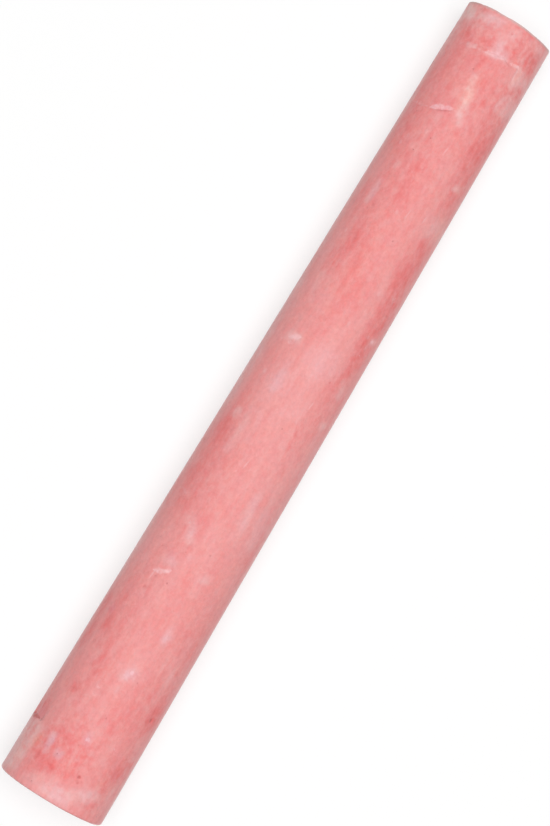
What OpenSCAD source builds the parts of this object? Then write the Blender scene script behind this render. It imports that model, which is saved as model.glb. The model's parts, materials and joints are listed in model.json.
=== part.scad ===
// A stick of tailor's chalk: one round bar of pressed chalk, cast in a tapered mould.
// It lies along X on the narrow flat where it lay to dry, thick end towards -X,
// and the middle of its box is over the origin. All sizes are in millimetres.

/* [Stick] */
// Length along the middle line of the stick
stick_l = 80; // [50:0.5:120]
// Diameter at the thick end
thick_d = 10.37; // [9.5:0.01:14]
// Diameter at the thin end
thin_d = 8.51; // [7:0.01:9.4]

/* [Ends] */
// Radius that rounds the rim of the thick end
rim_r = 0.4; // [0.1:0.05:1.2]
// Angle by which the thin end was cut out of square
skew_deg = 1.3; // [0:0.1:4]

/* [Underside] */
// Width of the flat where the damp stick lay to dry
flat_w = 1.1; // [0.4:0.1:3]

/* [Flaked skin near the thick end] */
// Distance of the step from the thick end
flake_s = 5.6; // [3:0.1:12]
// Length from the step to where the scar runs out
flake_l = 2.8; // [1:0.1:6]
// Depth of the step
flake_depth = 0.14; // [0.05:0.01:0.4]
// Middle of the scar, turned from the top line towards -Y
flake_deg = -68; // [-150:1:150]
// Width of the scar as an angle around the stick
flake_span_deg = 26; // [8:1:60]

/* [Peeled skin at the thin end] */
// Distance of the ledge back from the thin end
peel_l = 3.5; // [1:0.1:8]
// Depth of the ledge
peel_depth = 0.06; // [0.03:0.01:0.3]
// Middle of the peeled patch, turned from the top line towards -Y
peel_deg = 4; // [-150:1:150]
// Width of the peeled patch as an angle around the stick
peel_span_deg = 64; // [10:1:120]

/* [Knock on the side] */
// Distance of the knock back from the thin end
knock_s = 10; // [6:0.1:30]
// Middle of the knock, turned from the top line towards -Y
knock_deg = -19; // [-150:1:150]
// Depth of the knock
knock_depth = 0.11; // [0.05:0.01:0.3]
// Width of the knock along the stick
knock_w = 0.42; // [0.2:0.02:1]
// Slant of the knock away from square across the stick
knock_slant_deg = 22; // [0:1:45]

/* [Hidden] */
$fn = 96;
thick_r = thick_d / 2;
thin_r = thin_d / 2;
// A tapered bar on a flat surface leans by half of its taper
lean_deg = atan((thick_r - thin_r) / stick_l);
// Distance from the middle line to the centre of the rim's rounding
round_x = thick_r + (thin_r - thick_r) * rim_r / stick_l - rim_r;
// How far each end reaches past the point where the middle line meets it
thick_reach = round_x * sin(lean_deg) + rim_r * (1 - cos(lean_deg));
thin_reach = thin_r * norm([tan(skew_deg) * cos(lean_deg), sin(lean_deg)]);
// Shift that brings the middle of the box over the origin
seat_x = (thick_reach - thin_reach - stick_l * cos(lean_deg)) / 2;
// Depth of the flat at the middle of the stick
mid_r = (thick_r + thin_r) / 2;
flat_depth = mid_r - sqrt(mid_r * mid_r - flat_w * flat_w / 4);
// How far each cutter stands out past the skin, so that no faces coincide
proud = 0.5;

// Radius of the side at a distance from the thick end
function side_r(along) = thick_r + (thin_r - thick_r) * along / stick_l;

// Moves a cutter to the skin, its X outwards and its Z along the stick
module on_skin(along, turn_deg) {
    rotate([0, 0, 180 + turn_deg])
        translate([side_r(along), 0, along])
            children();
}

// The cast bar: straight tapered side, rounded rim at the thick end, long at the thin end
module cast_bar() {
    over_l = stick_l + thin_r * tan(skew_deg) + proud;
    rotate_extrude()
        union() {
            polygon([
                [0, 0],
                [round_x, 0],
                [round_x, rim_r],
                [side_r(rim_r), rim_r],
                [side_r(over_l), over_l],
                [0, over_l]
            ]);
            intersection() {
                translate([round_x, rim_r])
                    circle(r = rim_r);
                square([thick_r, rim_r]);
            }
        }
}

// The slanting cut that trims the thin end
module end_cut() {
    translate([0, 0, stick_l])
        rotate([skew_deg, 0, 0])
            translate([-thick_d, -thick_d, 0])
                cube(2 * thick_d);
}

// A scar with a steep step on its thick-end side, running out level towards the thin end
module flake_scar() {
    skin_r = side_r(flake_s);
    run_out = flake_s + flake_l;
    rotate([0, 0, 180 + flake_deg - flake_span_deg / 2])
        rotate_extrude(angle = flake_span_deg)
            polygon([
                [skin_r - flake_depth, flake_s],
                [side_r(run_out), run_out],
                [side_r(run_out) + proud, run_out],
                [skin_r + proud, flake_s]
            ]);
}

// The thin end's peeled patch: the skin is missing from the ledge to the rim
module peel_scar() {
    ledge_s = stick_l - peel_l;
    past_end = stick_l + thin_r * tan(skew_deg) + 2 * proud;
    rotate([0, 0, 180 + peel_deg - peel_span_deg / 2])
        rotate_extrude(angle = peel_span_deg)
            polygon([
                [side_r(ledge_s) - peel_depth, ledge_s],
                [side_r(past_end) - peel_depth, past_end],
                [side_r(past_end) + proud, past_end],
                [side_r(ledge_s) + proud, ledge_s]
            ]);
}

// A knock from a straight edge: a shallow groove, pointed at both ends
module knock() {
    spread = knock_w / knock_depth / 2;
    deep = knock_depth + proud;
    on_skin(stick_l - knock_s, knock_deg)
        rotate([90 + knock_slant_deg, 0, 0])
            linear_extrude(height = thin_d, center = true)
                polygon([
                    [-knock_depth, 0],
                    [proud, deep * spread],
                    [proud, -deep * spread]
                ]);
}

// The stick along Z with its ends and its marks
module upright_stick() {
    difference() {
        cast_bar();
        end_cut();
        flake_scar();
        peel_scar();
        knock();
    }
}

module chalk_stick() {
    color("lightcoral")
        difference() {
            translate([seat_x, 0, thick_r * cos(lean_deg) - flat_depth])
                rotate([0, 90 + lean_deg, 0])
                    upright_stick();
            translate([-stick_l, -thick_d, -thick_d])
                cube([2 * stick_l, 2 * thick_d, thick_d]);
        }
}

chalk_stick();
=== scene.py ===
# %% [markdown]
# A stick of pink tailor's chalk, on plain white.
# It is one lump: talc, clay and pigment were stirred with water, poured into a tapered mould,
# knocked out while damp and left on a board to dry. There is nothing to put together, so all the
# work of this lesson is in one surface: its taper, its two ends, its scars and scuffs, and its dry
# mottled finish. The first step loads the measured stick, the hidden frame that all is fitted to.

# %% Load the measured stick
import json
import math

import bmesh
import bpy
import numpy as np
from mathutils import Matrix, Vector, noise


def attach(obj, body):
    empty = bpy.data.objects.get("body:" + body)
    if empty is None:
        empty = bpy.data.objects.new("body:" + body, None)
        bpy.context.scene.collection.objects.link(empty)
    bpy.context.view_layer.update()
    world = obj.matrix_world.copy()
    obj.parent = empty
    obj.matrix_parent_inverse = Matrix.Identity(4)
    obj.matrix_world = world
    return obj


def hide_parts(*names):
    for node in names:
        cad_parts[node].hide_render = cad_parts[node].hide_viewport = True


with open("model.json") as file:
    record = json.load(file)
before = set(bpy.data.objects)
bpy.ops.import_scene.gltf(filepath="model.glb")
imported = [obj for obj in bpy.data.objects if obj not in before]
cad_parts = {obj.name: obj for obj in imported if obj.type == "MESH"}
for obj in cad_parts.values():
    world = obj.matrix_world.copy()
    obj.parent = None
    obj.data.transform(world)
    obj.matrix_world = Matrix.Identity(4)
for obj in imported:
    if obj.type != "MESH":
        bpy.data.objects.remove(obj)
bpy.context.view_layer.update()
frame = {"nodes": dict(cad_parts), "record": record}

MM = 0.001

# %% [markdown]
# The measured stick's own interfaces say where its ends are and which way they face. The middle
# line runs from the centre of the thick end to the centre of the thin end, and the taper is read
# off the measured side where it has no scar. Reading them, and not writing them again, keeps this
# file right if the stick is ever made in another size. Every place on the skin is then given as a
# maker would: so far along from the thick end, and turned so far from the top line. A turn towards
# -Y counts as positive.

# %% Read the ends, the middle line and the taper
mounts = {m["name"]: m for m in frame["record"]["mounts"]}
thick_centre = Vector(mounts["thick_end"]["pos_m"])
thin_centre = Vector(mounts["thin_end"]["pos_m"])
thin_normal = Vector(mounts["thin_end"]["axis"]).normalized()
stick_l = (thin_centre - thick_centre).length
along_stick = (thin_centre - thick_centre).normalized()
stick_up = along_stick.cross(Vector((0, 1, 0))).normalized()


def place_on_skin(points):
    """Distance along, turn in degrees and distance from the middle line, for an array of points."""
    from_thick = points - np.array(thick_centre)
    along = from_thick @ np.array(along_stick)
    up = from_thick @ np.array(stick_up)
    side = -from_thick[:, 1]
    return along, np.degrees(np.arctan2(side, up)), np.hypot(side, up)


BELOW_SCARS, ABOVE_FLAT = 100, 165  # degrees from the top line
PAST_RIM = 1 * MM
cad_points = np.array([v.co for v in frame["nodes"]["chalk_stick"].data.vertices], float)
along, turn, away = place_on_skin(cad_points)
plain_side = (along > PAST_RIM) & (abs(turn) > BELOW_SCARS) & (abs(turn) < ABOVE_FLAT)
taper, thick_r = np.polyfit(along[plain_side], away[plain_side], 1)
thin_r = thick_r + taper * stick_l
print("length, thick and thin radius, mm:",
      [round(float(x) / MM, 3) for x in (stick_l, thick_r, thin_r)])
print("points used:", int(plain_side.sum()), "up:", [round(x, 4) for x in stick_up])

# %% [markdown]
# The photographer stood the camera over the stick and turned it, so that the stick runs from corner
# to corner. The camera's place was found by fitting the stick's outline. Its lens is given by the
# height of the picture.

# %% Set up the camera
bpy.context.scene.view_settings.view_transform = "Standard"
PICTURE_H = 826
FOCAL_PIXELS = 2977.8
SENSOR = 36.0
NEAREST = 10 * MM
EYE = Vector((-8.557, 7.064, 270.56)) * MM
AIM = Vector((-0.557, 0.319, 4.72)) * MM
ROLL = math.radians(59.159)

camera_data = bpy.data.cameras.new("camera")
camera_data.sensor_fit = "VERTICAL"
camera_data.sensor_height = SENSOR
camera_data.lens = FOCAL_PIXELS / PICTURE_H * SENSOR
camera_data.clip_start = NEAREST
camera = bpy.data.objects.new("camera", camera_data)
bpy.context.scene.collection.objects.link(camera)
bpy.context.scene.camera = camera

forward = (AIM - EYE).normalized()
level_right = (Vector((1, 0, 0)) - forward * forward.x).normalized()
level_up = (-forward).cross(level_right)
picture_right = math.cos(ROLL) * level_right - math.sin(ROLL) * level_up
picture_up = math.sin(ROLL) * level_right + math.cos(ROLL) * level_up
turned = Matrix((picture_right, picture_up, -forward)).transposed()
camera.matrix_world = Matrix.Translation(EYE) @ turned.to_4x4()
print("lens, mm:", round(camera_data.lens, 1))

# %% [markdown]
# The light is a broad round soft box over the stick, a little to its -Y side, in a dim white room.
# A small lamp would be easier to place, but it would draw a hard shadow and a bright line that the
# matt stick doesn't have. The backdrop is white to the camera only, by a Light Path switch, so the
# lamps stay at the level at which the chalk's own colour comes out as it is written.

# %% Light and room
WHITE = "#FFFFFF"


def srgb(hex_colour):
    """An sRGB hex colour as the linear colour that the renderer works in."""
    parts = [int(hex_colour[i:i + 2], 16) / 255 for i in (1, 3, 5)]
    return [*(p / 12.92 if p <= 0.04045 else ((p + 0.055) / 1.055) ** 2.4 for p in parts), 1.0]


def add(tree, kind, values=None, wires=None, **settings):
    """Adds a node: its own values, the sockets or nodes that feed it, and its settings."""
    made = tree.nodes.new("ShaderNode" + kind)
    for name, value in settings.items():
        setattr(made, name, value)
    for socket, value in (values or {}).items():
        made.inputs[socket].default_value = value
    for socket, source in (wires or {}).items():
        tree.links.new(getattr(source, "outputs", [source])[0], made.inputs[socket])
    return made


def blank_tree(owner, output):
    owner.use_nodes = True
    tree = owner.node_tree
    tree.nodes.clear()
    return tree, tree.nodes.new(output)


def seen_or_mirrored(tree):
    """1 where the camera looks straight at a surface, or sees it in glass or metal."""
    ray = add(tree, "LightPath").outputs
    seen = add(tree, "Math", None, {0: ray["Is Camera Ray"], 1: ray["Is Glossy Ray"]},
               operation="MAXIMUM")
    return add(tree, "Math", None, {0: seen, 1: ray["Is Transmission Ray"]}, operation="MAXIMUM")


ROOM_LEVEL = 0.14
room = bpy.data.worlds.new("white room")
bpy.context.scene.world = room
tree, output = blank_tree(room, "ShaderNodeOutputWorld")
dim = add(tree, "Background", {"Color": srgb(WHITE), "Strength": ROOM_LEVEL})
bright = add(tree, "Background", {"Color": srgb(WHITE), "Strength": 1.0})
switch = add(tree, "MixShader", None, {0: seen_or_mirrored(tree), 1: dim, 2: bright})
tree.links.new(switch.outputs[0], output.inputs["Surface"])

BOX_SIZE = 0.5
BOX_HEIGHT = 0.7
BOX_WATTS = 4.7
BOX_TILT = math.radians(2.3)
lamp_data = bpy.data.lights.new("soft_box", "AREA")
lamp_data.shape = "DISK"
lamp_data.size = BOX_SIZE
lamp_data.energy = BOX_WATTS
lamp = bpy.data.objects.new("soft_box", lamp_data)
bpy.context.scene.collection.objects.link(lamp)
lamp.location = (0, -BOX_HEIGHT * math.sin(BOX_TILT), BOX_HEIGHT * math.cos(BOX_TILT))
lamp.rotation_euler = (BOX_TILT, 0, 0)
print("soft box:", BOX_SIZE, "m wide, room level", ROOM_LEVEL)

# %% [markdown]
# The stick lies on white card, which throws light back up on its flanks. Card under such a lamp
# comes out grey in a picture, so for the camera alone it is lifted most of the way to pure white.

# %% White floor
FLOOR_SIZE = 4.0
BOUNCE = "#E6E6E6"
WHITENING = 0.65
bpy.ops.mesh.primitive_plane_add(size=FLOOR_SIZE)
floor = bpy.context.object
floor.name = "floor"
floor_paint = bpy.data.materials.new("white_card")
tree, output = blank_tree(floor_paint, "ShaderNodeOutputMaterial")
seen = seen_or_mirrored(tree)
card_colour = add(tree, "Mix", {6: srgb(BOUNCE), 7: srgb(WHITE)}, {0: seen}, data_type="RGBA")
card = add(tree, "BsdfDiffuse", None, {"Color": card_colour.outputs[2]})
glow = add(tree, "Emission", {"Color": srgb(WHITE), "Strength": 1.0})
amount = add(tree, "Math", {1: WHITENING}, {0: seen}, operation="MULTIPLY")
lifted = add(tree, "MixShader", None, {0: amount, 1: card, 2: glow})
tree.links.new(lifted.outputs[0], output.inputs["Surface"])
floor.data.materials.append(floor_paint)
print("floor:", FLOOR_SIZE, "m wide")

# %% [markdown]
# The stick could be lathed from a profile, but a cylinder that is scaled at one end gives the same
# taper with even rings, which the fine relief needs. Like the real one it is cast too long, and its
# thin end is trimmed after the side is carved, so that the cut leaves a crisp edge. That end is
# turned a little now, so that the cut, which is out of square, will run between two rings. The
# thick rim is beveled, because the mould's lip and handling rounded it. The bar starts a little
# full, because all the relief that follows only presses in.

# %% Shape the tapered bar
AROUND = 144
RIM_ROUND = 0.26 * MM
RIM_FACES = 8
FULLER = 0.016 * MM
TO_TRIM = 0.775 * MM


def points_of():
    flat = np.empty(len(stick.data.vertices) * 3, np.float32)
    stick.data.vertices.foreach_get("co", flat)
    return flat.reshape(-1, 3).astype(float)


def select_in_edit(what, test):
    """In edit mode, selects the verts, edges or faces for which test is true, and no others."""
    kinds = ("verts", "edges", "faces")
    bpy.context.tool_settings.mesh_select_mode = [kind == what for kind in kinds]
    bpy.ops.mesh.select_all(action="DESELECT")
    shape = bmesh.from_edit_mesh(stick.data)
    chosen = [item for item in getattr(shape, what) if test(item)]
    for item in chosen:
        item.select_set(True)
    shape.select_flush_mode()
    bmesh.update_edit_mesh(stick.data)
    return len(chosen)


def how_far(co):
    """Distance of a point along the stick from the thick end."""
    return (co - thick_centre).dot(along_stick)


cast_l = stick_l + TO_TRIM
cast_end = thick_centre + along_stick * cast_l
cast_end_r = thick_r + taper * cast_l

bpy.ops.mesh.primitive_cylinder_add(
    vertices=AROUND, radius=thick_r + FULLER, depth=cast_l, end_fill_type="NGON",
    location=(thick_centre + cast_end) / 2, rotation=along_stick.to_track_quat("Z", "Y").to_euler())
stick = bpy.context.object
stick.name = "stick_of_chalk"
bpy.ops.object.transform_apply(location=True, rotation=True, scale=True)

bpy.ops.object.mode_set(mode="EDIT")
select_in_edit("verts", lambda v: how_far(v.co) > stick_l / 2)
narrower = (cast_end_r + FULLER) / (thick_r + FULLER)
bpy.ops.transform.resize(value=(narrower,) * 3, center_override=cast_end)
skew = math.asin(-thin_normal.y)
bpy.ops.transform.rotate(
    value=skew, orient_axis="Z", orient_type="GLOBAL", center_override=cast_end)
select_in_edit("edges", lambda e: all(how_far(v.co) < PAST_RIM for v in e.verts))
bpy.ops.mesh.bevel(offset=RIM_ROUND, segments=RIM_FACES, profile=0.5, affect="EDGES")
bpy.ops.object.mode_set(mode="OBJECT")
print("cast bar, mm:", round(cast_l / MM, 2), "long,", round(float(cast_end_r) / MM, 3),
      "thin radius, skew, degrees:", round(math.degrees(skew), 2))

# %% [markdown]
# The side gets a ring every quarter of a millimetre, by subdividing its lengthwise edges twice. The
# thick end's face is extruded and shrunk towards its centre ring by ring, and closed with a fan, so
# that it can carry relief too.

# %% Rings along the side and across the thick end
COARSE_RINGS = 80
RING_GAP = 0.25 * MM
END_RINGS = 20
MOST_SIDES = 20  # only an unfilled end face has more sides than this


def runs_along(edge, at_least):
    return abs(how_far(edge.verts[0].co) - how_far(edge.verts[1].co)) > at_least


def ring_the_face(centre, facing):
    """Fills the flat end face that looks along X, or against it, with rings around its centre."""
    select_in_edit("faces", lambda f: len(f.verts) > MOST_SIDES
                   and f.calc_center_median().x * facing > 0)
    for ring in range(END_RINGS, 0, -1):
        bpy.ops.mesh.extrude_region()
        bpy.ops.transform.resize(value=((ring - 0.5) / (ring + 0.5),) * 3, center_override=centre)
    bpy.ops.mesh.poke()


coarse_gap = stick_l / COARSE_RINGS
bpy.ops.object.mode_set(mode="EDIT")
select_in_edit("edges", lambda e: runs_along(e, stick_l / 2))
bpy.ops.mesh.subdivide(number_cuts=COARSE_RINGS - 1)
select_in_edit("edges", lambda e: runs_along(e, coarse_gap / 2))
bpy.ops.mesh.subdivide(number_cuts=round(coarse_gap / RING_GAP) - 1)
ring_the_face(thick_centre, facing=-1)
bpy.ops.object.mode_set(mode="OBJECT")
print("faces:", len(stick.data.polygons))

# %% [markdown]
# Every mark on the real stick is noted in one way: how far along it lies, how far it is
# turned from the top line, how long and how wide it is, and how strong. Flushes are patches where
# the pigment shows redder, blooms are pale dusty patches. Both are soft, so they are ovals. They
# could be left to a noise texture, but then they would lie anywhere. The side that the photograph
# hides gets the same kinds of marks, turned half round and end for end.

# %% Broad flushes and blooms
def noted(text):
    """Marks as numbers, from notes with a comma between two marks."""
    return [tuple(map(float, mark.split())) for mark in text.split(",")]


# millimetres along, degrees from the top line, millimetres long, degrees wide, strength
BROAD_FLUSHES = noted("""
4.5 -10 5 46 .6, 7 -74 3 24 .8, 4.8 47 3 26 .5, 10 25 4.5 26 .6, 11 56 3.4 30 .8, 16.5 -73 7 20 .8,
16 -43 3 20 .4, 12.5 -24 5 9 .35, 31.5 -52 3.5 24 .4, 34.5 -52 9 22 .4, 36.3 -52 2.5 14 .4,
29 -75 4.5 16 .6, 29.2 -3 3 14 .35, 22.5 70 3.5 14 .4, 27.2 72 2.5 16 .5, 56 -27 4.5 26 .65,
54 -8 10 26 .35, 63.5 -8 5 18 .6, 60 -6 13 22 .2, 51.5 55 7 26 1, 47 43 6.5 16 .8,
55.5 47 4.5 24 .8, 46 78 4.5 18 .6, 58.3 50 4 22 .5, 68.3 49 6 38 1, 68 12 3.5 40 .4,
64.8 56 4.5 22 .4, 67.5 -56 6.5 24 .5, 72 -60 5 22 .35, 64 25 3 22 .3, 74 13 4.2 20 .65,
75.5 -10 2.2 22 .5, 18.5 30 3 16 .2, 73.5 0 12 150 .3, 52.1 -37 7 14 .6, 69.5 28 17 34 .45,
65.6 -29 9 34 .5, 57.1 -8 20 12 .4, 74 -4 7 16 .4, 78.6 -2 2 20 .5, 79 33 1.6 18 .55,
29.4 -22 11 26 .3, 14.5 -24 10 12 .35, 1.2 28 2.4 28 .4, 34.9 -33 6 14 .3, 40.5 -12 6 18 .25,
54.1 26 6 15 .25
""")
# The long bloom 42 mm along at -72 degrees and the blooms near 75 degrees on either side pale the
# flanks: partly dust, partly a painted grazing sheen.
BROAD_BLOOMS = noted("""
3 -65 5.5 30 .6, 7 -40 3.5 16 .25, 13 -45 4.5 14 .3, 13.3 1 3 18 .4, 15 50 3.5 26 .4,
17.2 20 2.5 14 .3, 8 62 2.2 24 .4, 22.7 -22 3.4 20 .45, 25.5 -50 3.4 40 .4, 24.7 41 7 18 .45,
30.5 48 9 26 .6, 28 20 3.5 14 .25, 37 -15 4.5 34 .4, 41.8 -22 5.5 30 .7, 45.7 -36 3.4 30 .9,
45.2 12 4.8 40 .65, 40.5 10 4.5 30 .5, 47 -62 8 44 .4, 50 -42 4.5 32 .3, 60.8 60 3.2 34 .55,
71.5 -6 4.4 18 .5, 73.8 60 3.4 42 .65, 76 43 2.2 20 .6, 77.8 -2 2.4 26 .4, .8 3 2.2 50 .5,
1.6 30 1.8 18 .4, 79 -60 2.5 40 .6, 79.2 -18 1.8 30 .5, 79.4 40 1.2 60 .4, .4 -40 1 60 .4,
34.5 20 5 20 .2, 21 -5 6 24 .15, 42 -72 95 56 .6, 44.8 -75 14 24 .8, 78.6 74 5 20 .7,
77.5 -68 5 20 .5, 35 57 9.7 29 .6, 1.8 56 4 16 .6, 45 24 8 20 .6, 39.1 12 9 16 .5, 1 -26 2.4 15 .45,
23.8 -74 7 18 .4, 56.5 -60 18 18 .6, 23 46 8 32 .45, 10.4 -53 8 16 .45, 10.2 18 7 16 .2,
58 69 5.6 18 .25
""")
print("broad patches noted:", len(BROAD_FLUSHES), "flushes,", len(BROAD_BLOOMS), "blooms")

# %% [markdown]
# The small patches lie in and around the broad ones, and have an outline that wanders less.

# %% Small flushes and blooms
FLUSHES = noted("""
3 -22 2 30 .5, 5.2 -16 1.5 20 .45, 3.2 -34 .9 5 .7, 6.6 -70 1.4 24 .85, 9.8 -38 1.2 10 .9,
12.5 -29 4 12 .5, 15.8 -46 1.2 12 .7, 14.5 -66 3 16 .6, 9.5 -68 2 12 .4, 10 26 2 8 .5,
13 32 2.5 10 .4, 11 57 2.5 19 .95, 11.1 58 1.2 10 .6, 77.9 46 1 12 .8, 5.7 -68 .9 26 .8,
4.9 49 1.6 10 .7, 3.5 42 2.2 12 .5, 8 -13 .5 5 .4, 4.5 2 4 20 .35, 8.8 12 .7 5 .3, 6 33 .6 5 .35,
15.2 51 .8 8 .4, 27.2 -8 4.5 9 .4, 26.8 -28 .8 5 .5, 17.4 -70 1.9 18 .8, 17.1 -51 .4 4 .7,
16.2 -45 .8 6 .5, 18.6 -44 .8 6 .4, 20.7 -43 .8 6 .4, 18.8 33 .5 20 .35, 26.7 62 1 11 .7,
28.5 -42 1 19 .4, 30.8 -54 2.2 32 .45, 29.3 40 1.8 6 .4, 22.3 5 2.5 10 .25, 29.5 -74 2 10 .4,
34.5 -46 4.5 24 .4, 36.3 -52 1.5 16 .6, 33 -58 1.5 8 .5, 37.3 -23 1 5 .3, 37.9 27 3.4 5 .8,
35.3 36 1.5 5 .35, 46.5 43 3 16 .6, 42.8 62 2 11 .6, 34.6 68 1.5 8 .5, 36.3 -11 5.5 9 .3,
34 -70 2 8 .5, 47.3 -7 1.5 15 .3, 55.8 -31 3 18 .6, 53.2 -37 2.1 6 .5, 51.5 -3 4.5 21 .35,
54 -8 1 6 .2, 62.6 -8 5 15 .5, 49.2 43 2.3 13 .5, 50.4 56 1.2 16 .6, 51.8 53 .3 8 .5,
53.1 55 .6 10 .7, 55.3 42 1.9 16 .6, 55 56 1.2 8 .5, 58.9 48 1.8 16 .6, 61.6 74 2 8 .5,
60 14 6 12 .12, 63.6 52 1.7 15 .5, 60.5 -60 2 10 .4, 73 9 3.2 13 .6, 72.8 12 1 6 .6,
75.5 -12 1.2 18 .5, 76.9 -15 1 14 .8, 77.7 -12 .8 8 .5, 77.3 51 1.5 22 .6, 77.6 25 1.2 20 .5,
77.3 -53 1.5 18 .6, 76.9 -38 1.4 13 .5, 79.6 -44 .3 5 .8, 79.1 30 .4 4 .4, 78.8 5 .5 6 .4,
68.6 41 4 14 .6, 68.5 61 5 18 .6, 67 -2 2.5 13 .3, 64.5 -3 1.5 8 .5, 67.2 -60 4.5 24 .4,
71 -62 2 10 .4, 75.3 -63 1.5 10 .5, 4.6 -63 2.6 10 .7, 5.7 61 2 11 .5, 4.8 -32 2.3 10 .4,
3 40 2 9 .5, 12.5 1 1.2 8 .4, 4.3 -48 2.2 9 .45, 10.8 64 2.2 12 .3, 51.3 66 2.4 12 .5,
72.3 5 1.8 8 .3, 79 -53 1.2 9 .7, 75.3 63 2.4 12 .25, 44.3 40 2.8 10 .25, 39.1 23 2.2 9 .3,
73.7 -4 1.4 9 .3
""")
BLOOMS = noted("""
.9 3 1.4 26 .7, 4.1 -16 .9 8 .5, 76 41 1.4 16 .5, 2.3 29 1.3 14 .6, 3.2 -54 5 12 .4, 5.2 -52 1 6 .6,
1.2 -64 1.2 14 .5, 13.2 6.5 .9 8 .5, 10.1 -16 .3 8 .4, 10.9 -16 .3 8 .4, 10 -2 3.7 7 .35,
13 -38 .9 7 .4, 14.9 -46 1.2 14 .4, 14.2 43 2.5 10 .4, 11.5 36 .6 8 .4, 8.2 55 .9 14 .45,
3 57 1 10 .4, 6.8 60 .8 8 .3, 7.2 32 1.5 15 .3, 23.3 -20 1.2 9 .3, 23.4 20 .8 10 .5, 20 -31 .6 7 .5,
17.6 19 1.8 7 .4, 18.2 39 .3 4 .5, 21.6 47 .5 11 .4, 29.7 26 4.5 12 .35, 29 52 4 13 .4,
30.6 -2 1.5 10 .3, 37.6 -43 .9 8 .6, 36.2 -30 4 8 .35, 36.5 -18 3 7 .35, 41.8 -19 3 9 .45,
38.2 -12 .4 3 .5, 43.2 -33 1.5 5 .3, 45.2 8 3 40 .4, 45 24 1.5 10 .4, 40.3 12 2 8 .35,
44.1 52 1.5 8 .5, 40.5 55 .6 11 .6, 37.1 20 .8 5 .3, 33.5 32 .8 5 .3, 35.8 47 .8 6 .4,
51.4 -43 1.8 10 .5, 63.6 -31 1 6 .4, 49.2 57 1 10 .6, 53.5 50 .6 5 .5, 60.7 54 2.5 24 .45,
61.1 35 2.7 20 .35, 56.3 60 .3 8 .4, 53.5 34 2 12 .3, 50 24 4 17 .3, 72 -12 1.6 12 .4,
79 -62 1.2 20 .6, 79 -19 1.2 22 .6, 78.6 -31 1.6 14 .4, 77.7 -40 .8 8 .4, 79.5 60 .6 10 .4,
78.7 5 1 12 .3, 66.5 20 5 10 .3, 69.7 24 3 8 .35, 68.3 -18 1 8 .3, 64.6 48 .7 12 .5,
75.2 27 1.7 11 .3, 72 58 1.2 10 .4, 75.3 43 2 10 .5, 6.6 -40 2.2 11 .3, 57.8 -61 3 10 .25,
58.3 -39 2.4 12 .25, 6.1 44 2.4 9 .35, 8.4 60 2.1 10 .3, 2.3 54 2.2 10 .3, 75 5 2.2 10 .25,
73.1 -25 2.5 9 .25, 76.4 -61 2.6 16 .3, 79 50 1.2 18 .7, 1 -26 1.4 14 .5, 44.9 -68 3.2 10 .3,
42.3 32 2.6 9 .25, 16.1 -61 2.2 9 .3, 9.4 -56 3.5 9 .3, 13 -42 3 9 .2
""")
print("small patches noted:", len(FLUSHES), "flushes,", len(BLOOMS), "blooms")

# %% [markdown]
# The crisp marks are lines: scuffs, where a harder thing dragged over the chalk and left pale
# powder in its track, patches of loose dust that settled, and dark stains where the wet pigment
# gathered. A painted shadow under the flaked skin is drawn as a dark line, like the stains. Each
# goes from point to point, so wide and so strong. Pinholes are round: bubbles that the skin closed
# over thinly.

# %% Scuffs, dust, stains and pinholes
# millimetres wide, strength, then for each point millimetres along and degrees from the top line
SCUFFS = noted("""
.3 .25 3.9 -29.5 4.9 -31.5, .5 .2 3.9 -16 4.4 -15, .38 .9 6.3 0 6.55 3, .35 .4 7 3.5 7.3 4.5,
.3 .5 10 -19 10.1 -12, .28 .5 10.7 -21 10.8 -14, .45 1 13.25 4 13.4 7, .3 .4 12.8 -43 13 -38,
.3 .4 13.3 -38 13.5 -35, .3 .4 6.9 50 6.6 54 6.3 59, .25 .4 19.8 -35 20 -32,
.48 .95 22 -32 22.15 -25 22.45 -18 22.9 -13, .4 .35 25.5 -11 27.5 -25,
.3 .4 29.35 -64 29.6 -55 29.3 -48 29.5 -41, .3 .6 27.2 -23 27.5 -25, .28 .5 33.1 -10 33.35 -8,
.25 .4 38.25 -14 38.35 -12, .25 .5 37 18 37.1 21, .3 .6 45.3 -35 45.3 -28,
.25 .6 45.25 -48 45.35 -43, .6 .95 45.75 -38 45.9 -32 46.15 -24, .28 .5 54.5 -24 54.7 -17,
.5 .15 59.7 -42 60.5 -40, .3 .35 59.3 -41 59.6 -39, .25 .6 53.3 48 53.6 53,
.25 .3 50.4 -70 50.4 -60, .45 .8 49.1 53 49.2 60, .25 .4 64.5 43 64.7 49,
.55 .85 69.7 -36 69.9 -29 70.15 -21 70.5 -8, .24 .6 69.65 -68 69.6 -38, .24 .5 76.15 -33 76.25 -10,
.22 .3 76 -60 76.1 -40, .25 .4 71.5 50 71.5 58, .65 .75 76.3 -11 76.5 2 76.65 14,
.55 .45 76.7 1 77.5 3, .24 .5 76.6 12 76.65 26, .5 1 76.6 23 76.75 36, .25 .5 77.55 -15 77.65 -13,
.26 .6 75 37 76.8 36, .24 .5 76.65 38 76.6 56, .24 .45 74.5 38 74.7 44,
.26 .5 72.7 36 73.6 37 74.15 44 74.1 52 74.25 58, .24 .3 72.1 56 72.2 66, .22 .35 1.6 18 1.5 24,
.22 .4 2 -22 2.1 -14, .22 .35 6.9 -34 7.1 -30
""")
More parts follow.
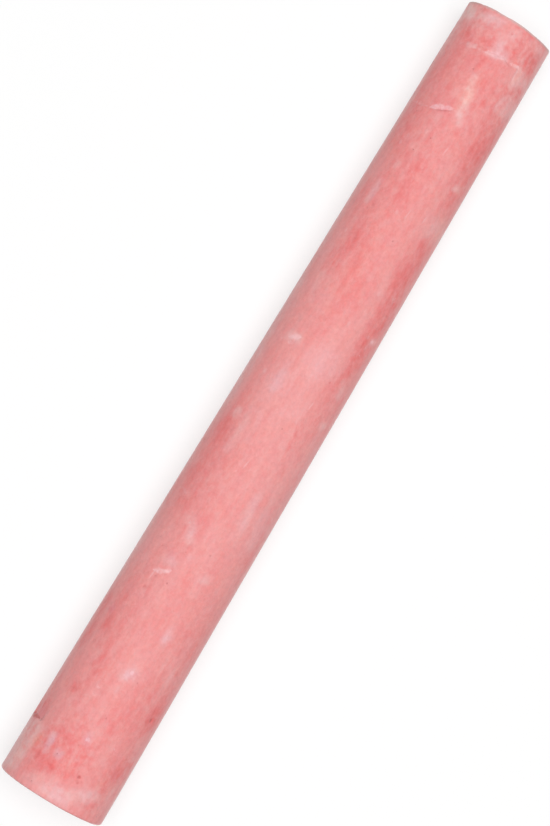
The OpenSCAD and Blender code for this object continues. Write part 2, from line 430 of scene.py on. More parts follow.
# The long lines at about 68 to 75 degrees pale the flanks: partly dust, partly a painted grazing
# sheen.
DUST = noted("""
1.5 .5 1 -6 1.1 10, 1.2 .4 1.5 20 2.1 30 2.5 40, .6 .45 3.7 -30 5.2 -31, .7 .35 3.9 -16 4.4 -15,
1.7 .75 1.4 -61 4.7 -60, 2.2 .6 1.4 -73 4 -77, .8 .3 6.2 1 7.3 4, 1 .45 12.8 2 13.4 8,
.7 .35 17.3 18 17.8 20, .8 .35 23.3 16 23.7 25, .8 .3 23.3 -26 23.5 -14, .9 .35 25.8 -13 27.5 -24,
1 .2 34.5 -31 37.5 -30, .7 .45 37.5 -45 37.9 -44, 1.2 .15 28.3 54 31.5 49, 1 .25 29.5 25 32.5 25,
.9 .25 41.2 -21 42.6 -21, .9 .5 45.9 -38 46 -27, .9 .3 43.6 51 44.8 51, .5 .35 40.5 51 40.6 59,
.6 .4 49.1 54 49.3 60, .8 .2 51 -43 51.9 -43, .7 .35 59.8 -43 61.7 -40, 2.2 .3 60.4 46 60.6 70,
.6 .4 64.6 43 64.7 49, .5 .3 63.6 -34 63.9 -32, .6 .5 69.6 7 70.6 2, .9 .75 70.5 2 71.4 -1 72.6 -4,
.7 .65 72.4 -4 73.8 -7, 1 .2 72 -17 72.4 -12, .7 .4 72.6 38 73.5 40 74 48, 1.8 .4 73 50 73.4 74,
.7 .5 75.1 39 76.5 39, 1.2 .5 76 42 76 60, .9 .45 76.5 -8 76.7 12, .8 .45 76.9 2 77.7 3,
.5 .45 76.15 -34 76.3 -26, 1 .3 77.3 -66 78 -56, 1.4 .85 78.6 -80 79.2 -68 79 -57,
1 .55 78.8 -40 79.2 -20, .8 .3 78.2 2 79.3 14, 2 .35 39 -74 50.5 -74, 1.4 .45 75.5 75 79.6 75,
1.6 .3 75 -68 79.6 -68, 2.4 .18 30.5 58 38 56, 1.1 .25 .8 -33 1.2 -19, 1.4 .2 20.5 -75 27 -75
""")
STAINS = noted("""
.3 .35 2.6 -35 3.4 -35, .25 .25 3.6 -34 3.8 -33, .5 .5 9.6 -41 9.8 -38, .3 .4 .4 -51 .5 -48,
.28 .4 2.6 14 2.7 16, .4 .12 4.5 47 4.9 49, .25 .4 17.1 -54 17.2 -50, .3 .3 18.5 -46 18.7 -43,
.6 .35 17.3 -75 17.6 -70, .25 .3 21.6 -29 21.7 -25, .4 .3 34.1 -72 34.3 -68, .35 .4 36 -54 36.6 -50,
.25 .45 51.7 50 51.8 57, .3 .5 52.9 51 53.1 56, .22 .4 38 -23 38.3 -22, .5 .5 77 -23 77.3 -16,
.25 .5 76.95 -12 77.1 -5, .35 .45 77.4 -50 77.9 -56, .28 .5 77.7 15 78 21, .28 .4 77.4 24 77.5 32,
.45 .45 77.6 44 77.9 49, .22 .35 77 38 77 56, .3 .4 79.55 -48 79.7 -44, .22 .4 79.2 28 79.4 31,
.22 .35 70.25 -34 70.5 -26, .22 .3 78.3 -10 78.9 -4, .22 .3 78.4 34 78.9 40
""")
# the shadow under the flaked skin, which the hidden side doesn't have
FLAKE_SHADOW = noted(".5 1 5.66 -92 5.62 -72 5.66 -62, .35 .5 5.66 -62 5.6 -54")
# millimetres along, degrees from the top line, millimetres across, strength
PINHOLES = noted("""
3.2 13.5 .32 .8, 10.5 54.5 .38 .9, 9.75 -38.5 .4 .3, 2.7 15 .24 .5, 4.1 -45 .28 .3, 14 -51 .28 .4,
13.1 -35 .24 .4, 20.4 -30 .42 .45, 24.3 -37 .36 .35, 21.7 -26 .24 .4, 29.4 -34 .24 .3,
44.1 31 .22 .5, 43.4 1 .2 .3, 59.15 -38 .36 .35, 59.6 -33 .4 .4, 62.7 -35 .36 .3, 53.05 54 .26 .5,
78.9 6 .26 .6, 34.2 -71 .28 .4
""")
print("crisp marks noted:", len(SCUFFS), "scuffs,", len(DUST), "dusty,",
      len(STAINS) + len(FLAKE_SHADOW), "stains,", len(PINHOLES), "pinholes")

# %% [markdown]
# Handling wears a cast skin at its ends, and there the grain shows coarser. Dust turns the pink a
# little yellow where it is thick and dry, and a little lilac where it is thin. These are ovals too.

# %% Where the skin is worn, and where its tone turns
WORN = noted("""
4.2 -20 6.5 62 .9, 2.5 34 5 50 .6, 7 10 5 40 .5, 5 60 6 40 .5, 74.2 50 6.5 50 .9, 72 5 5 50 .4,
12 55 6 30 .3
""")
WORN_END = noted("78.8 0 5.6 400 1")
YELLOWISH = noted("""
72.3 -4 3.6 16 .6, 76.7 30 .7 12 .4, 79.2 -66 2.2 34 .3, 3 -62 5.2 24 .3, 4 -45 1.4 8 .9,
65.6 -54 1 12 .4, 60.5 62 2.5 24 .3, 75.8 40 2 8 .4, 54 -12 9 20 .2, 3.7 40 2 10 .3
""")
LILAC = noted("""
4.5 -30.5 1.7 8 1, 4.1 -16 1 9 .9, 1 3 1.6 26 .3, 2.2 30 1.5 22 .25, 30 50 5 20 .25,
13.1 5 1.1 11 .6, 70.1 -22 1.3 30 .4, 76.9 3 1.5 18 .5, 79.2 -22 1.3 22 .3, 23.4 -20 1.4 13 .4,
26.8 -18 2 11 .3, 41.8 -21 2.2 11 .4, 45.2 20 2.2 26 .25, 60.8 -41 2.2 9 .4, 6.5 1.5 1.2 9 .6,
17.5 19 1.3 9 .5, 17.2 -52 .8 8 .6, 6.2 -66 1.2 20 .6, 4.7 48 .8 8 .5, 79.3 30 .5 6 .5, 31 26 3 9 .3
""")
print("worn patches:", len(WORN), "tones:", len(YELLOWISH) + len(LILAC))

# %% [markdown]
# All marks are spread over all points at once. The points are first shifted a little by a smooth
# noise, because a mark with a perfect outline looks printed on.

# %% Places on the skin
MEAN_R = 4.7
MM_PER_DEGREE = math.pi / 180 * MEAN_R


def soft_step(value, start, end):
    """0 up to start and 1 from end on, with a smooth rise between them."""
    part = np.clip((value - start) / (end - start), 0, 1)
    return part * part * (3 - 2 * part)


def wandered(points, lump, reach, seed):
    """Points in mm, each shifted up to about reach mm by a smooth noise with lumps of a size."""
    start = Vector((seed, 2 * seed, 3 * seed))
    return points + reach * np.array([noise.noise_vector(Vector(p) / lump + start) for p in points])


def skin_places(lump=1.0, reach=0.0, seed=0):
    along, turn, away = place_on_skin(wandered(points_of() / MM, lump, reach, seed) * MM)
    return along / MM, turn, away / MM


def ragged_places():
    """Millimetres along and degrees, shifted so that a thin line gets a ragged outline."""
    return skin_places(lump=0.45, reach=0.12, seed=3)[:2]


def skin_radius(along):
    return (thick_r + taper * along * MM) / MM


def around(turn, middle):
    """Millimetres around the stick from a line at a given turn."""
    return ((turn - middle + 180) % 360 - 180) * MM_PER_DEGREE


print("one degree of skin is", round(MM_PER_DEGREE, 3), "mm wide")

# %% [markdown]
# One function spreads the ovals and one the lines, and both give a strength from 0 to 1 for each
# point. Ovals that meet add up. A line is thinner towards its ends, as a scratch is.

# %% Spread marks over the skin
TIP = 0.05
# how soft each edge is: 0 is cut out with a knife, 1 fades from the mark's middle outwards
CUT_OUT, FRAYED, SOFT, BLURRED = 0.02, 0.5, 0.6, 0.95
SMUDGED, SUNKEN = 0.7, 0.75


def oval_marks(listed, along, turn, softness):
    field = np.zeros(len(along))
    for middle, at_turn, long, wide, strength in listed:
        reach = np.hypot((along - middle) / (long / 2),
                         around(turn, at_turn) / (wide * MM_PER_DEGREE / 2))
        touch = strength * (1 - soft_step(reach, 1 - softness, 1 + softness))
        field = field + touch * (1 - field)
    return field


def line_marks(listed, along, turn, softness, thinner_ends=True):
    field = np.zeros(len(along))
    for wide, strength, *numbers in listed:
        points = list(zip(numbers[::2], numbers[1::2]))
        flat = [(s, t * MM_PER_DEGREE) for s, t in points]
        lengths = [math.dist(p, q) for p, q in zip(flat, flat[1:])]
        whole, done = sum(lengths), 0.0
        for (s0, t0), (s1, t1), (_, at_turn), length in zip(flat, flat[1:], points, lengths):
            run, rise = (s1 - s0) / length, (t1 - t0) / length
            ds, dt = along - s0, around(turn, at_turn)
            reached = np.clip(ds * run + dt * rise, 0, length)
            part = (done + reached) / whole
            half = wide / 2 * (np.sqrt(1 + TIP - (2 * part - 1) ** 2) if thinner_ends else 1)
            reach = np.hypot(ds - reached * run, dt - reached * rise) / half
            touch = strength * (1 - soft_step(reach, 1 - softness, 1 + softness))
            field = np.maximum(field, touch)
            done += length
    return field


def both_halves(spread, listed, along, turn, softness, **more):
    """The marks as noted, and the same marks turned half round and end for end."""
    seen = spread(listed, along, turn, softness, **more)
    hidden = spread(listed, stick_l / MM - along, turn + 180, softness, **more)
    return np.maximum(seen, hidden)


print("edges from", CUT_OUT, "to", BLURRED, "of a mark's half width")

# %% [markdown]
# Three scars have real depth, and the measured stick has them too. Near the thick end the skin
# flaked off beside a step, at the thin end a patch of skin peeled off back to a ledge, and an edge
# knocked a short groove between them. Each is a depth for every point, held inside its own outline.

# %% Depths of the three scars
# all in millimetres, and turns in degrees
FLAKE_DEPTH, PEEL_DEPTH, KNOCK_DEPTH = 0.14, 0.06, 0.11
FLAKE_AT, FLAKE_RUN, FLAKE_TURN, FLAKE_HALF = 5.6, 2.8, -68, 13
PEEL_AT, PEEL_TURN, PEEL_HALF = 76.5, 4, 32
KNOCK_AT, KNOCK_TURN, KNOCK_HALF, KNOCK_SLANT = 70.0, -19, 0.21, math.radians(22)


def within(turn, middle, half, edge):
    """1 inside a band of turns and 0 outside it, with an edge so many mm wide."""
    return 1 - soft_step(abs(around(turn, middle)) - half * MM_PER_DEGREE, -edge, edge)


def flake(along, turn):
    slope = np.clip(1 - (along - FLAKE_AT) / FLAKE_RUN, 0, 1)
    step = soft_step(along, FLAKE_AT - 0.06, FLAKE_AT + 0.12)
    return slope * step * within(turn, FLAKE_TURN, FLAKE_HALF, edge=0.12)


def peel(along, turn):
    ledge = soft_step(along, PEEL_AT - 0.07, PEEL_AT + 0.07)
    return ledge * within(turn, PEEL_TURN, PEEL_HALF, edge=1.2)


def knock(along, turn):
    ds, dt = along - KNOCK_AT, around(turn, KNOCK_TURN)
    across = ds * math.cos(KNOCK_SLANT) - dt * math.sin(KNOCK_SLANT)
    lengthwise = ds * math.sin(KNOCK_SLANT) + dt * math.cos(KNOCK_SLANT)
    bottom = 1 - lengthwise ** 2 / (2 * skin_radius(along) * KNOCK_DEPTH)
    return np.clip(bottom - abs(across) / KNOCK_HALF, 0, 1)


print("scars, mm deep: flake", FLAKE_DEPTH, "peel", PEEL_DEPTH, "knock", KNOCK_DEPTH)

# %% [markdown]
# Crisp marks and the worn ends need more points than the rest. More rings everywhere would do it at
# four times the faces. Here the faces near the marks are picked by place and subdivided: once at
# all of them, and again at the pinholes and the steps.

# %% Finer faces at the crisp marks
# lines along the steps of the scars, noted as the scuffs are
LEDGES = noted("""
.3 1 5.6 -82 5.6 -54, .3 1 76.5 -29 76.5 37, .3 1 76.5 -28 79.4 -28, .3 1 76.5 36 79.4 36,
.7 1 69.5 -32 70.45 -6
""")


def widened(listed, margin):
    return [(wide + margin, 1, *numbers) for wide, _, *numbers in listed]


def as_ovals(holes, margin=0, full=False):
    """Pinholes as ovals, each so many mm wider, and at full strength if asked."""
    return [(at, turn, across + margin, (across + margin) / MM_PER_DEGREE, 1 if full else strength)
            for at, turn, across, strength in holes]


def worn_skin(along, turn, softness):
    """How worn each point is: in patches on both halves, and all round the thin end."""
    patches = both_halves(oval_marks, WORN, along, turn, softness)
    return np.maximum(patches, oval_marks(WORN_END, along, turn, softness))


def finer(margin, with_broad_marks):
    along, turn, away = skin_places()
    near = [line_marks(widened(LEDGES, margin), along, turn, CUT_OUT, thinner_ends=False),
            both_halves(oval_marks, as_ovals(PINHOLES, 2 * margin, True), along, turn, CUT_OUT)]
    if with_broad_marks:
        near += [both_halves(line_marks, widened(SCUFFS, margin), along, turn, CUT_OUT,
                             thinner_ends=False),
                 worn_skin(along, turn, 0.3)]
    near = (np.maximum.reduce(near) > 0.5) & (away > 4)
    bpy.ops.object.mode_set(mode="EDIT")
    picked = select_in_edit("faces", lambda f: len(f.verts) < MOST_SIDES
                            and any(near[v.index] for v in f.verts))
    bpy.ops.mesh.subdivide(number_cuts=1)
    bpy.ops.object.mode_set(mode="OBJECT")
    print("faces made finer:", picked, "points now:", len(stick.data.vertices))


finer(margin=0.2, with_broad_marks=True)
finer(margin=0.05, with_broad_marks=False)

# %% [markdown]
# The relief is carved with Displace modifiers, as a carver would press the skin in, and never out,
# so that the stick keeps its size. Sculpting would look as real, but nobody could do it twice. Each
# press is held to its place by a vertex group, whose weights come from the marks above.

# %% Carving tools
LIGHTEST = 0.002


def weigh(weights):
    stick.vertex_groups.clear()
    group = stick.vertex_groups.new(name="weights")
    for index in np.nonzero(weights > LIGHTEST)[0]:
        group.add([int(index)], float(weights[index]), "REPLACE")


def press_in(where, depth, lumps=None, drawn_out=(1, 1, 1), contrast=1.0, creased=False):
    """Moves the skin in by up to depth metres: evenly, or in clouds or creases of a lump size."""
    weigh(where)
    modifier = stick.modifiers.new("press", "DISPLACE")
    modifier.strength = -depth
    modifier.mid_level = 0.0
    modifier.vertex_group = "weights"
    stretch = bpy.data.objects.new("stretch", None)
    bpy.context.scene.collection.objects.link(stretch)
    if lumps:
        pattern = bpy.data.textures.new("clouds", "CLOUDS")
        pattern.noise_scale = lumps
        pattern.noise_depth = 3
        pattern.contrast = contrast
        pattern.noise_type = "HARD_NOISE" if creased else "SOFT_NOISE"
        modifier.texture = pattern
        stretch.scale = drawn_out
        bpy.context.view_layer.update()
        modifier.texture_coords = "OBJECT"
        modifier.texture_coords_object = stretch
    bpy.ops.object.modifier_apply(modifier=modifier.name)
    bpy.data.objects.remove(stretch)


print("weights up to", LIGHTEST, "are left out")

# %% [markdown]
# A cast side is never quite true: it has slow swellings, and fine grooves where the mix ran along
# the mould. They come first, and the scars, pinholes and scuffs are cut into them.

# %% Carve the skin
def on_the_side(along, away):
    """1 on the skin of the side, fading to 0 just below it, for places in mm."""
    skin = skin_radius(along)
    return soft_step(away, skin - 0.35, skin - 0.05)


def holes_and_scuffs(along, turn, ragged):
    """How strongly each point lies in a pinhole, and in a scuff with a ragged outline."""
    holes = both_halves(oval_marks, as_ovals(PINHOLES), along, turn, SUNKEN)
    return holes * on_side, both_halves(line_marks, SCUFFS, *ragged, FRAYED) * on_side


along, turn, away = skin_places()
on_side = on_the_side(along, away)
thick_end = 1 - soft_step(along, 1, 4)
press_in(on_side * thick_end, depth=FULLER)
press_in(on_side, depth=0.022 * MM, lumps=4 * MM, drawn_out=(2.5, 1, 1))
press_in(on_side, depth=0.012 * MM, lumps=0.5 * MM, drawn_out=(8, 1, 1))
press_in(knock(along, turn) * on_side, depth=KNOCK_DEPTH * MM)

broken_along, broken_turn, _ = skin_places(lump=0.7, reach=0.22, seed=5)
press_in(flake(broken_along, broken_turn) * on_side, depth=FLAKE_DEPTH * MM)
press_in(peel(broken_along, broken_turn) * on_side, depth=PEEL_DEPTH * MM)

holes, scuffed = holes_and_scuffs(along, turn, ragged_places())
press_in(holes, depth=0.09 * MM)
press_in(scuffed, depth=0.020 * MM)
print("pinhole points:", int((holes > 0.1).sum()), "scuff points:", int((scuffed > 0.1).sum()))

# %% [markdown]
# Where the skin is worn, its softest grains are gone and it is creased, redder in the creases. The
# material can't feel the relief, so how far each point sank is kept on the mesh as a number.

# %% Crease the worn skin
CREASE_DEPTH = 0.035 * MM


def paint(name, values):
    """Keeps one number for each point on the mesh, where the material and the tools can read it."""
    layer = stick.data.attributes.get(name) or stick.data.attributes.new(name, "FLOAT", "POINT")
    layer.data.foreach_set("value", values.astype(np.float32))
    print(name, "from", round(float(values.min()), 2), "to", round(float(values.max()), 2))


def read_back(name):
    values = np.empty(len(stick.data.vertices), np.float32)
    stick.data.attributes[name].data.foreach_get("value", values)
    return values.astype(float)


worn = worn_skin(along, turn, SOFT) * on_side
well_worn = worn > 0.5
before = place_on_skin(points_of())[2]
press_in(worn, depth=CREASE_DEPTH, lumps=0.55 * MM, drawn_out=(1, 1.4, 1.4), contrast=1.5,
         creased=True)
hollow = (before - place_on_skin(points_of())[2]) / CREASE_DEPTH
usual_hollow = (hollow[well_worn] / worn[well_worn]).mean()
hollow = (hollow - usual_hollow * worn) * on_side
press_in(on_side, depth=0.008 * MM, lumps=0.3 * MM)
paint("hollow", hollow)
print("creased points:", int((worn > 0.1).sum()), "usual hollow there:",
      round(float(usual_hollow), 2), "spread:", round(float(hollow[well_worn].std()), 2))

# %% [markdown]
# The thin end was trimmed with a blade, a little out of square. Bisect does the same: it cuts along
# the plane that the measured stick gives, throws the offcut away and fills the cut, and the carved
# side keeps its relief right up to a sharp edge. The new face gets rings like the thick end's.

# %% Trim the thin end
CUT_BACK = 0.004 * MM  # keeps the edge inside the measured stick
MERGED = 0.001 * MM
AT_CUT = 0.002  # millimetres
cut_centre = thin_centre - along_stick * CUT_BACK
bpy.ops.object.mode_set(mode="EDIT")
bpy.ops.mesh.select_all(action="SELECT")
bpy.ops.mesh.bisect(plane_co=cut_centre, plane_no=thin_normal, use_fill=True, clear_outer=True,
                    threshold=MERGED)
ring_the_face(cut_centre, facing=1)
bpy.ops.object.mode_set(mode="OBJECT")
along, turn, away = skin_places()
ragged = ragged_places()
on_side = on_the_side(along, away)
to_cut = (points_of() - np.array(cut_centre)) @ np.array(thin_normal) / MM
print("points on the cut:", int((abs(to_cut) < AT_CUT).sum()), "points now:", len(to_cut))

# %% [markdown]
# The ends have relief of their own. The thick end was the mouth of the mould: the mix sank there as
# it dried, so its face is dished like a shallow saucer and has burst bubbles. The thin end was
# trimmed while damp, so the blade's drag shows as fine lines, with a few grains pulled out. A few
# small chips are missing from the sharp rim.

# %% Carve the two ends
# burst bubbles: millimetres sideways and up from the middle, millimetres across, strength
BUBBLES = noted("""
1.6 1.1 .9 .8, -2.4 .4 .6 .7, .3 -2.2 .7 .6, 3.1 -1.6 .45 .8, -1.1 2.9 .5 .7, -.6 .9 .4 .6,
-3.2 -1.9 .5 .5, 2.6 2.8 .4 .6
""")
# chips from the thin rim, as ovals on the skin
CHIPS = noted("""
79.95 -46 .4 6 .3, 80 122 .9 16 .7, 79.95 -138 .6 12 .6, 79.9 96 .4 6 .5, 79.95 44 .5 44 .6,
80 -14 .4 16 .4
""")
THICK_FACE_R = (thick_r - RIM_ROUND) / MM
INSIDE_THIN_RIM = 3.7

on_thick_face = soft_step(-along, -0.3, -0.1)
on_thin_face = (to_cut > -AT_CUT) * (1 - soft_step(away, INSIDE_THIN_RIM, 4.15))
flat_side, flat_up = away * np.sin(np.radians(turn)), away * np.cos(np.radians(turn))
bubbles = np.zeros(len(along))
for side, up, across, strength in BUBBLES:
    reach = np.hypot(flat_side - side, flat_up - up) / (across / 2)
    bubbles = np.maximum(bubbles, strength * (1 - soft_step(reach, 0.6, 1.1)))
thick_face = on_thick_face * (1 - soft_step(away, THICK_FACE_R - 1.2, THICK_FACE_R))
dish = on_thick_face * np.clip(1 - (away / THICK_FACE_R) ** 2, 0, 1)
chips = oval_marks(CHIPS, *ragged, FRAYED) * soft_step(away, INSIDE_THIN_RIM, 4.0)
press_in(dish, depth=0.16 * MM)
press_in(thick_face, depth=0.10 * MM, lumps=1.4 * MM, contrast=2.0)
press_in(thick_face, depth=0.05 * MM, lumps=0.6 * MM, contrast=1.5, creased=True)
press_in(bubbles * on_thick_face, depth=0.22 * MM)
press_in(on_thin_face, depth=0.05 * MM, lumps=0.4 * MM, drawn_out=(1, 9, 1.5), contrast=1.5)
press_in(on_thin_face, depth=0.07 * MM, lumps=0.45 * MM, contrast=3.0)
press_in(chips, depth=0.10 * MM)

thick_rim = soft_step(-along, -0.7, -0.1) * soft_step(away, 4.5, 4.9)
press_in(thick_rim, depth=0.02 * MM, lumps=1.2 * MM, contrast=1.5)
print("points on the end faces:", int((thick_face > 0.5).sum()), int((on_thin_face > 0.5).sum()))

# %% [markdown]
# The stick lay on a board to dry, and its own weight pressed a narrow flat. Everything below the
# board is brought up to it. This comes last, because the flat is as even as the board.

# %% Flatten the underside
SHARP_ABOVE = math.radians(50)
bpy.ops.object.mode_set(mode="EDIT")
below = select_in_edit("verts", lambda v: v.co.z < 0)
bpy.ops.transform.resize(value=(1, 1, 0), center_override=(0, 0, 0))
bpy.ops.mesh.select_all(action="SELECT")
bpy.ops.mesh.normals_make_consistent(inside=False)
bpy.ops.object.mode_set(mode="OBJECT")
bpy.ops.object.shade_smooth_by_angle(angle=SHARP_ABOVE)
stick.vertex_groups.clear()
print("points on the flat:", below)

# %% [markdown]
# The marks are handed to the material as numbers on the points. Flushes and blooms pull against
# each other, so they share one number: above 0 the skin is redder, below 0 it is paler. The marks
# belong to the side, so they fade out over the end faces.

# %% Paint the marks
off_centre = soft_step(away, 1.0, 3.8)


def spread_ovals(listed, lump, reach, seed, softness):
    """Ovals on both halves, their outlines wandering up to reach mm in lumps of a size."""
    along, turn, _ = skin_places(lump, reach, seed)
    return both_halves(oval_marks, listed, along, turn, softness) * off_centre


def pull(more, less, seed, **how):
    """The ovals that pull one way, less those that pull the other way."""
    return spread_ovals(more, seed=seed, **how) - spread_ovals(less, seed=seed + 2, **how)


# TOP_LINE pales a wide band along the top line and the underside: a painted highlight where the
# soft box above lights the top most.
TOP_LINE = noted("40 8 400 62 1")
BROAD_SHARE, SMALL_SHARE = 0.5, 0.6
broad = pull(BROAD_FLUSHES, BROAD_BLOOMS, seed=7, lump=3, reach=1, softness=BLURRED)
small = pull(FLUSHES, BLOOMS, seed=11, lump=1.1, reach=0.45, softness=SOFT)
paint("redder", BROAD_SHARE * broad + SMALL_SHARE * small)
paint("tone", pull(YELLOWISH, LILAC, seed=15, lump=1.1, reach=0.3, softness=SMUDGED))
paint("rubbed_top", spread_ovals(TOP_LINE, lump=3, reach=0.5, seed=2, softness=BLURRED))
dust = both_halves(line_marks, DUST, *ragged, SMUDGED, thinner_ends=False)
paint("dust", dust * off_centre)
paint("worn", worn_skin(along, turn, SOFT) * on_side)
paint("hollow", read_back("hollow") * on_side)
paint("raw_face", np.maximum(thick_face, on_thin_face))
paint("cut_face", on_thin_face)

# %% [markdown]
# Crisp marks have colours of their own: scuffs are pale, and pinholes and stains are dark. The
# shadow under the flaked skin is painted among the stains, and the thick rim's pale line is partly
# wear and partly painted light thrown up by the white floor. Painted grey shade darkens the rims of
# both ends, where they turn away from the lamp, and a painted grazing sheen greys the flanks; it is
# thinner low down.

# %% Paint the crisp marks
RIM_WEAR_AND_LIGHT, STAINS_AND_SHADOW = 0.4, 0.8
# painted grey shade at the rims of both ends, and a painted grazing sheen on the flanks
THIN_EDGE_SHADE, THICK_EDGE_SHADE, FLANK_SHEEN_SHADE = 1.1, 0.3, 0.42
holes, scuffed = holes_and_scuffs(along, turn, ragged)
# the painted shadow under the flaked skin joins the stains, and both darken the pit layer
stains_and_flake_shadow = np.maximum(line_marks(FLAKE_SHADOW, *ragged, SMUDGED),
                    both_halves(line_marks, STAINS, *ragged, SMUDGED))
# the thick rim's pale line is partly wear and partly painted light thrown up by the white floor
paint("scuff", np.maximum(scuffed, RIM_WEAR_AND_LIGHT * thick_rim))
paint("pit", np.maximum(holes, STAINS_AND_SHADOW * stains_and_flake_shadow))
off_top = abs(turn)
kept = 0.75 + 0.25 * soft_step(turn, -20, 20) - 0.4 * soft_step(off_top, 70, 110)
thin_edge = soft_step(to_cut, -0.30, -0.08) * soft_step(away, 4.0, 4.15) * kept
thick_edge = soft_step(-along, -0.2, -0.02) * soft_step(away, 4.6, 4.85)
flanks = (soft_step(off_top, 66, 92) - 0.7 * soft_step(off_top, 92, 120)) * on_side
# paints the grey shade of the rims and the grazing sheen of the flanks
paint("grime", np.maximum.reduce([THIN_EDGE_SHADE * thin_edge, THICK_EDGE_SHADE * thick_edge,
                                  FLANK_SHEEN_SHADE * flanks]))

# %% [markdown]
# The real material is talc and clay bound with a little glue, tinted with iron red and cast: quite
# matt, finely grained, a touch dusty. Its colour comes from clouds of several sizes, each in real
# millimetres. Its grains are a few hundredths of a millimetre, too fine for a picture in which a
# pixel is 0.09 mm, so they are drawn at 0.3 mm.

# %% Clouds of every size
# lump size in mm, detail, roughness, how far drawn out along the stick and sideways
CLOUDS = {
    "mottle": (4, 3, 0.55, 2.5, 1),  # pigment that was never quite stirred in
    "flow": (0.9, 2, 0.55, 9, 1),  # drawn along the mould as the mix was poured
    "streaks": (0.32, 3, 0.6, 6, 1),
    "speckle": (0.55, 2, 0.5, 1.4, 1),  # clots of pigment
    "grain": (0.34, 3, 0.7, 1, 1),
    "veins": (1.6, 3, 0.65, 1.4, 1),
    "crinkles": (0.75, 3, 0.65, 1.4, 1),
    "drifts": (0.8, 4, 0.65, 1, 1),  # loose dust
    "hue": (1, 2, 0.6, 1, 1),
    "scuff": (0.28, 2, 0.6, 1, 1),  # the ragged edges of the crisp marks
    "pit": (0.2, 2, 0.6, 1, 1),
    "grime": (0.4, 2, 0.6, 1, 1),
    "rough face": (0.45, 4, 0.7, 1, 1),
    "blade lines": (0.3, 2, 0.6, 1, 14),
}
chalk = bpy.data.materials.new("cast_talc_chalk")
tree, output = blank_tree(chalk, "ShaderNodeOutputMaterial")
object_places = add(tree, "TexCoord").outputs["Object"]
cloudy = {}
for name, (size, detail, roughness, drawn_out, sideways) in CLOUDS.items():
    per_lump = 1 / MM / size
    place = add(tree, "VectorMath", {1: (per_lump / drawn_out, per_lump / sideways, per_lump)},
                {0: object_places}, operation="MULTIPLY")
    cloudy[name] = add(tree, "TexNoise", {"Scale": 1.0, "Detail": detail, "Roughness": roughness},
                       {"Vector": place}).outputs["Fac"]

MARKS = ("redder", "rubbed_top", "tone", "dust", "worn", "hollow", "scuff", "pit", "grime",
         "raw_face", "cut_face")
painted = {}
for name in MARKS:
    mark = add(tree, "Attribute", attribute_name=name, attribute_type="GEOMETRY")
    painted[name] = mark.outputs["Fac"]
print("clouds:", len(cloudy), "painted marks:", len(painted))

# %% [markdown]
# The pink is mottled from end to end, redder where pigment gathered and paler where dust lies.
# Mixing many colours with many masks gets muddy, so one number for the amount of pigment is made
# first, from the painted marks and the clouds, and the next step turns it to colour.

# %% How much pigment shows
def sum_of(start, *parts):
    """start plus each part times its amount."""
    total = None
    for source, amount in parts:
        wires = {0: source, **({2: total} if total else {})}
        total = add(tree, "Math", {1: amount, 2: start}, wires, operation="MULTIPLY_ADD")
    return total


def hairlines(cloud, width):
    """Thin winding lines: the places where a cloud passes its middle value."""
    off_middle = add(tree, "Math", None, {0: sum_of(-0.5, (cloud, 1))}, operation="ABSOLUTE")
    return add(tree, "MapRange", {"From Min": 0.0, "From Max": width, "To Min": 1.0, "To Max": 0.0},
               {"Value": off_middle}, interpolation_type="SMOOTHSTEP")


MARKS_SHOW = 0.29
MOTTLE_SHOW = 0.28
FLOW_SHOW = 0.36
SPECKLE_SHOW = 0.30
WORN_COARSER = 0.6
HOLLOWS_SHOW = 0.26
# how much the painted highlight along the top line pales the pink
TOP_SHOW = 0.08
VEINS_SHOW = 0.06
CRINKLES_SHOW = 0.05
EVEN_PINK = 0.54
veins = hairlines(cloudy["veins"], 0.035)
crinkles = hairlines(cloudy["crinkles"], 0.06)
# clots break up the marks, and stand out more where the skin is worn
broken_up = sum_of(0.1, (cloudy["speckle"], 1.8))
marks = add(tree, "Math", None, {0: painted["redder"], 1: broken_up}, operation="MULTIPLY")
coarser = sum_of(1, (painted["worn"], WORN_COARSER))
clots = add(tree, "Math", None, {0: sum_of(-0.5, (cloudy["speckle"], 1)), 1: coarser},
            operation="MULTIPLY")
usual = EVEN_PINK + TOP_SHOW - (MOTTLE_SHOW + FLOW_SHOW) / 2 + (VEINS_SHOW + CRINKLES_SHOW) / 4
pigment = sum_of(
    usual, (marks, MARKS_SHOW), (cloudy["mottle"], MOTTLE_SHOW), (cloudy["flow"], FLOW_SHOW),
    (clots, SPECKLE_SHOW), (painted["hollow"], HOLLOWS_SHOW), (painted["rubbed_top"], -TOP_SHOW),
    (veins, -VEINS_SHOW), (crinkles, -CRINKLES_SHOW))
print("pigment on even skin:", EVEN_PINK)

# %% [markdown]
# A colour ramp turns pigment to colour. Over it come the layers that hide the pink: dust in small
# drifts, then scuffs, pits with the flake's painted shadow, and the painted shade of rims and
# flanks.

# %% From pigment to colour
SHADES = ((0, "#F3C2C4"), (0.28, "#F0ADAD"), (0.5, "#EE9D9B"), (0.75, "#EC8887"), (1, "#E87372"))
ramp = add(tree, "ValToRGB", None, {0: pigment})
ramp.color_ramp.elements.remove(ramp.color_ramp.elements[0])
for index, (at, shade) in enumerate(SHADES):
    stop = ramp.color_ramp.elements[0] if index == 0 else ramp.color_ramp.elements.new(at)
    stop.position = at
    stop.color = srgb(shade)

